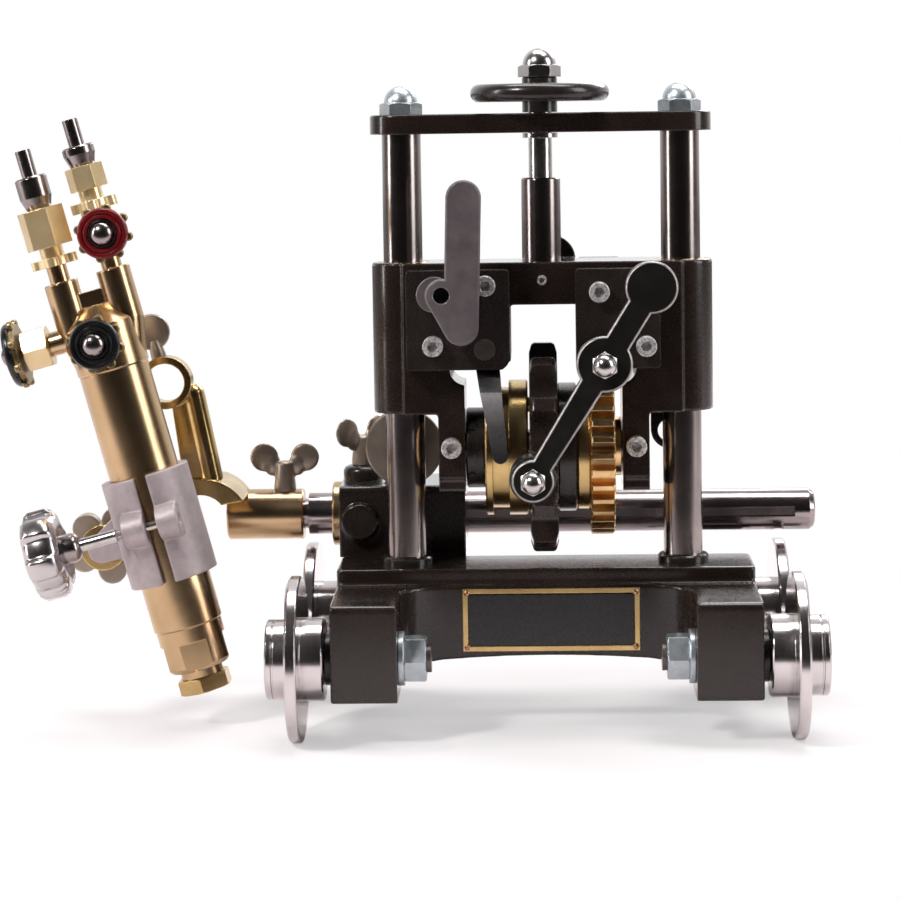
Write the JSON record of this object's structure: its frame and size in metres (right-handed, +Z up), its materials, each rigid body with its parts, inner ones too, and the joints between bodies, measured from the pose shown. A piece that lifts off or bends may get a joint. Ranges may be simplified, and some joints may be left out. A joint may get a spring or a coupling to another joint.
{
  "type": "pipe cutting machine",
  "caption": "hand-cranked pipe cutting machine: four chrome wheels under a cast base, two posts, a worm-driven chain sprocket, and a brass gas torch on a sliding cross rod",
  "frame": {"origin": "middle of the plane the four wheels stand on, midway between the two guide posts", "axes": "X along the pipe, Y to the back of the machine (the crank is in front), Z up"},
  "size_m": [0.422, 0.1941, 0.3449],
  "materials": {
    "cast_iron": "semi-gloss dark paint over an as-cast skin",
    "black_steel": "black, satin",
    "ground_steel": "ground and polished, dark reflections",
    "chrome": "mirror chrome",
    "zinc_steel": "grey zinc plate",
    "brass": "machined and polished",
    "satin_brass": "satin, slightly pink",
    "bronze": "cut bronze",
    "grey_steel": "grey-brown, satin",
    "aluminium_cast": "rough sand casting",
    "black_plastic": "moulded",
    "red_plastic": "moulded, dark red"
  },
  "bodies": {
    "base": {"base_casting": "cast_iron", "name_plate": "brass", "axle_bolts": "zinc_steel", "axle_and_post_nuts": "zinc_steel", "axle_washers": "zinc_steel", "guide_posts": "ground_steel", "post_collars": "black_steel", "top_plate": "cast_iron", "rod_clamp_block": "black_steel", "rod_bush": "satin_brass", "rod_lock_nut": "zinc_steel"},
    "wheel_fl": {"wheel_front_left": "chrome"},
    "wheel_fr": {"wheel_front_right": "chrome"},
    "wheel_bl": {"wheel_back_left": "chrome"},
    "wheel_br": {"wheel_back_right": "chrome"},
    "carriage": {"carriage_casting": "cast_iron", "lever_housing": "black_steel", "worm_housing": "black_steel", "rear_bearing_plate": "black_steel", "carriage_screws": "zinc_steel", "fork_pin": "grey_steel", "bronze_bushes": "bronze", "lift_tube": "ground_steel"},
    "feed": {"feed_screw": "zinc_steel", "feed_handwheel": "black_steel", "handwheel_nut": "zinc_steel"},
    "shaft": {"drive_shaft": "ground_steel", "chain_sprocket": "black_steel", "sprocket_hub": "black_steel", "worm_wheel_hub": "brass", "worm_wheel": "bronze", "thrust_collar": "zinc_steel"},
    "sleeve": {"clutch_sleeve": "brass"},
    "fork": {"clutch_fork": "black_steel"},
    "lever": {"clutch_lever": "grey_steel", "lever_cam": "black_steel"},
    "crank": {"worm_shaft": "zinc_steel", "crank_arm": "black_steel", "crank_nuts": "zinc_steel", "grip_pin": "zinc_steel"},
    "grip": {"crank_grip": "black_plastic"},
    "rod": {"cross_rod": "ground_steel"},
    "socket_wing": {"socket_wing_screw": "grey_steel"},
    "rod_wing": {"rod_wing_screw": "bronze"},
    "lock_knob": {"rod_lock_knob": "bronze"},
    "arm": {"torch_arm": "brass", "torch_socket": "brass"},
    "eye_wing": {"eye_wing_screw": "grey_steel"},
    "clamp": {"torch_clamp": "aluminium_cast"},
    "tilt_star": {"tilt_knob": "aluminium_cast"},
    "clamp_screw": {"clamp_knob": "chrome"},
    "torch": {"torch_barrel": "satin_brass", "nozzle_nut": "brass", "torch_manifold": "satin_brass", "inlet_unions": "brass", "hose_tails": "chrome", "valve_nuts": "brass"},
    "knob_black": {"valve_knob_black": "black_plastic"},
    "knob_red": {"valve_knob_red": "red_plastic"},
    "knob_side": {"valve_knob_side": "black_plastic"}
  },
  "joints": [
    {"name": "wheel_fl_spin", "type": "hinge", "parent": "base", "child": "wheel_fl", "pos_m": [-0.12, -0.054, 0.0415], "axis": [1, 0, 0], "continuous": true},
    {"name": "wheel_fr_spin", "type": "hinge", "parent": "base", "child": "wheel_fr", "pos_m": [0.12, -0.054, 0.0415], "axis": [1, 0, 0], "continuous": true},
    {"name": "wheel_bl_spin", "type": "hinge", "parent": "base", "child": "wheel_bl", "pos_m": [-0.12, 0.054, 0.0415], "axis": [1, 0, 0], "continuous": true},
    {"name": "wheel_br_spin", "type": "hinge", "parent": "base", "child": "wheel_br", "pos_m": [0.12, 0.054, 0.0415], "axis": [1, 0, 0], "continuous": true},
    {"name": "carriage_slide", "type": "slide", "parent": "base", "child": "carriage", "axis": [0, 0, 1], "range_m": [0, 0.02]},
    {"name": "feed_screw_turn", "type": "hinge", "parent": "base", "child": "feed", "pos_m": [0, 0, 0.3], "axis": [0, 0, 1], "range_deg": [0, 1800]},
    {"name": "shaft_turn", "type": "hinge", "parent": "carriage", "child": "shaft", "pos_m": [0, 0, 0.1404], "axis": [1, 0, 0], "continuous": true},
    {"name": "crank_turn", "type": "hinge", "parent": "carriage", "child": "crank", "pos_m": [0.02965, 0, 0.1904], "axis": [0, 1, 0], "continuous": true},
    {"name": "grip_spin", "type": "hinge", "parent": "crank", "child": "grip", "pos_m": [-0.00559, -0.074, 0.134], "axis": [0, 1, 0], "continuous": true},
    {"name": "clutch_lever_turn", "type": "hinge", "parent": "carriage", "child": "lever", "pos_m": [-0.0502, -0.04, 0.222], "axis": [0, 1, 0], "range_deg": [0, 40.5]},
    {"name": "fork_swing", "type": "hinge", "parent": "carriage", "child": "fork", "pos_m": [-0.0292, -0.03, 0.1935], "axis": [0, 1, 0], "range_deg": [0, 4.6]},
    {"name": "sleeve_slide", "type": "slide", "parent": "shaft", "child": "sleeve", "axis": [1, 0, 0], "range_m": [-0.0042, 0]},
    {"name": "rod_slide", "type": "slide", "parent": "base", "child": "rod", "axis": [1, 0, 0], "range_m": [-0.1, 0.012]},
    {"name": "socket_wing_turn", "type": "hinge", "parent": "arm", "child": "socket_wing", "pos_m": [-0.139, 0.053, 0.112], "axis": [0, 0, 1], "continuous": true},
    {"name": "rod_wing_turn", "type": "hinge", "parent": "base", "child": "rod_wing", "pos_m": [-0.097, 0.053, 0.118], "axis": [0, 0, 1], "continuous": true},
    {"name": "lock_knob_turn", "type": "hinge", "parent": "base", "child": "lock_knob", "pos_m": [-0.0732, 0.03, 0.1382], "axis": [0, 1, 0], "continuous": true},
    {"name": "arm_swing", "type": "hinge", "parent": "rod", "child": "arm", "pos_m": [-0.148, 0.053, 0.0992], "axis": [1, 0, 0], "range_deg": [-15, 8]},
    {"name": "eye_wing_turn", "type": "hinge", "parent": "arm", "child": "eye_wing", "pos_m": [-0.1974, 0.0202, 0.1741], "axis": [-0.2588, 0, 0.9659], "continuous": true},
    {"name": "torch_tilt", "type": "hinge", "parent": "arm", "child": "clamp", "pos_m": [-0.2318, 0.014, 0.0876], "axis": [0, 1, 0], "range_deg": [-20, 15]},
    {"name": "tilt_knob_turn", "type": "hinge", "parent": "clamp", "child": "tilt_star", "pos_m": [-0.2318, 0.028, 0.0876], "axis": [0, 1, 0], "continuous": true},
    {"name": "clamp_knob_turn", "type": "hinge", "parent": "clamp", "child": "clamp_screw", "pos_m": [-0.23701, -0.0362, 0.09649], "axis": [0.9659, 0, 0.2588], "continuous": true},
    {"name": "torch_slide", "type": "slide", "parent": "clamp", "child": "torch", "axis": [-0.2588, 0, 0.9659], "range_m": [-0.015, 0.02]},
    {"name": "black_valve_turn", "type": "hinge", "parent": "torch", "child": "knob_black", "pos_m": [-0.22333, -0.0485, 0.19995], "axis": [0, 1, 0], "range_deg": [0, 720]},
    {"name": "red_valve_turn", "type": "hinge", "parent": "torch", "child": "knob_red", "pos_m": [-0.21798, -0.0485, 0.25532], "axis": [0, 1, 0], "range_deg": [0, 720]},
    {"name": "side_valve_turn", "type": "hinge", "parent": "torch", "child": "knob_side", "pos_m": [-0.26895, -0.015, 0.19249], "axis": [0.9659, 0, 0.2588], "range_deg": [0, 720]}
  ],
  "couplings": [
    {"joint": "feed_screw_turn", "follows": "carriage_slide", "rad_per_m": 1570.8},
    {"joint": "shaft_turn", "follows": "crank_turn", "ratio": 0.029412},
    {"joint": "clutch_lever_turn", "follows": "sleeve_slide", "rad_per_m": -166.22},
    {"joint": "fork_swing", "follows": "sleeve_slide", "rad_per_m": -18.833}
  ]
}
